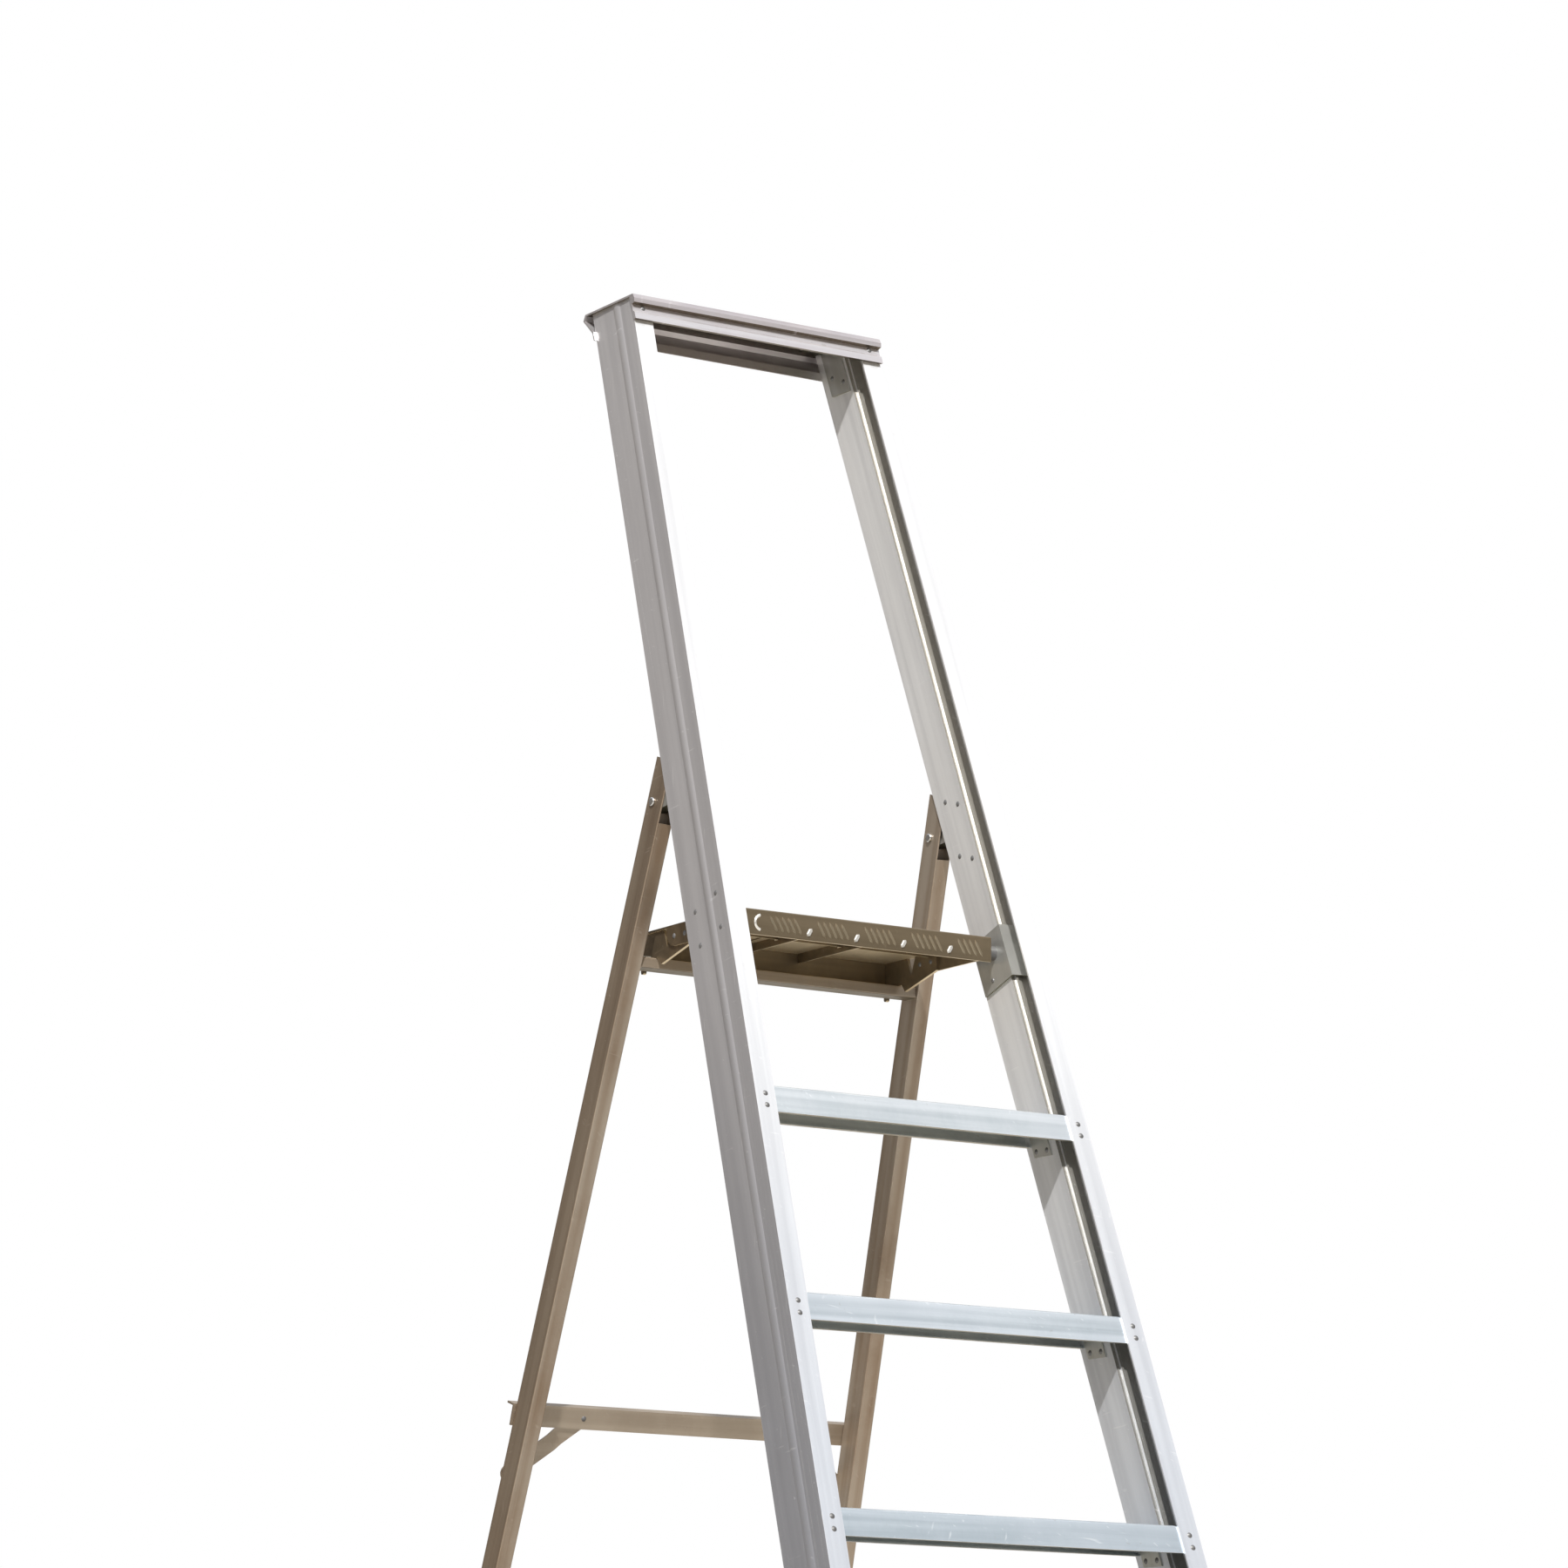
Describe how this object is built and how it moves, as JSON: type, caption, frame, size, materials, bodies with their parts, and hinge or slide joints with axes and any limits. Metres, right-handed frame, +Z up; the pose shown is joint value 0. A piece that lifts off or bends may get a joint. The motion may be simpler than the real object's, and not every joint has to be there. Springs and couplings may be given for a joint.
{
  "type": "folding platform step ladder",
  "caption": "Tall folding aluminium step ladder with a small tread plate platform, a guard hoop above it and a hinged rear frame.",
  "frame": {"origin": "on the floor, in the middle of the open ladder's footprint", "axes": "+X across the ladder, +Y from the climber's side to the rear, +Z up"},
  "size_m": [0.631, 1.4456, 2.5535],
  "materials": {
    "stile_aluminium": "mill finish extrusion with fine draw lines",
    "tread_aluminium": "ribbed mill finish extrusion, lightly scuffed",
    "cap_aluminium": "mill finish extrusion",
    "rear_frame_aluminium": "dull mill finish tube",
    "platform_plate": "pressed tread plate with raised bars",
    "bracket_aluminium": "folded sheet",
    "cast_aluminium": "sand cast, satin",
    "rivet_aluminium": "blind rivets",
    "pin_steel": "bright zinc plated",
    "foot_rubber": "moulded black rubber"
  },
  "bodies": {
    "front_frame": {"cap_rivets": "rivet_aluminium", "front_foot_rivets": "rivet_aluminium", "hinge_block_rivets": "rivet_aluminium", "left_cap_bracket": "bracket_aluminium", "left_front_foot": "foot_rubber", "left_hinge_block": "cast_aluminium", "left_platform_bracket": "bracket_aluminium", "left_platform_pin": "pin_steel", "left_stile": "stile_aluminium", "left_tread_cleats": "bracket_aluminium", "platform_bracket_rivets": "rivet_aluminium", "platform_pin_nuts": "pin_steel", "platform_spacers": "rivet_aluminium", "right_cap_bracket": "bracket_aluminium", "right_front_foot": "foot_rubber", "right_hinge_block": "cast_aluminium", "right_platform_bracket": "bracket_aluminium", "right_platform_pin": "pin_steel", "right_stile": "stile_aluminium", "right_tread_cleats": "bracket_aluminium", "top_cap": "cap_aluminium", "tread_1": "tread_aluminium", "tread_2": "tread_aluminium", "tread_3": "tread_aluminium", "tread_4": "tread_aluminium", "tread_5": "tread_aluminium", "tread_6": "tread_aluminium", "tread_cleat_rivets": "rivet_aluminium", "tread_rivets": "rivet_aluminium"},
    "rear_frame": {"brace_rivets": "rivet_aluminium", "crossbar_rivets": "rivet_aluminium", "left_crossbar_cleat": "bracket_aluminium", "left_hinge_pin": "pin_steel", "left_lower_strut": "rear_frame_aluminium", "left_rear_foot": "foot_rubber", "left_rear_leg": "rear_frame_aluminium", "left_upper_strut": "rear_frame_aluminium", "lower_brace": "rear_frame_aluminium", "rear_crossbar": "rear_frame_aluminium", "rear_foot_rivets": "rivet_aluminium", "right_crossbar_cleat": "bracket_aluminium", "right_hinge_pin": "pin_steel", "right_lower_strut": "rear_frame_aluminium", "right_rear_foot": "foot_rubber", "right_rear_leg": "rear_frame_aluminium", "right_upper_strut": "rear_frame_aluminium", "upper_brace": "rear_frame_aluminium"},
    "platform": {"deck_cross_rib": "bracket_aluminium", "left_deck_rib": "bracket_aluminium", "left_hook_arm": "bracket_aluminium", "platform_deck": "platform_plate", "platform_rivets": "rivet_aluminium", "right_deck_rib": "bracket_aluminium", "right_hook_arm": "bracket_aluminium"}
  },
  "joints": [
    {"name": "rear_frame_fold", "type": "hinge", "parent": "front_frame", "child": "rear_frame", "pos_m": [0, 0.09449, 1.88], "axis": [-1, 0, 0], "range_deg": [0, 38]},
    {"name": "platform_fold", "type": "hinge", "parent": "front_frame", "child": "platform", "pos_m": [0, -0.03969, 1.714], "axis": [1, 0, 0], "range_deg": [0, 70]}
  ],
  "couplings": [
    {"joint": "platform_fold", "follows": "rear_frame_fold", "ratio": 1.84}
  ]
}
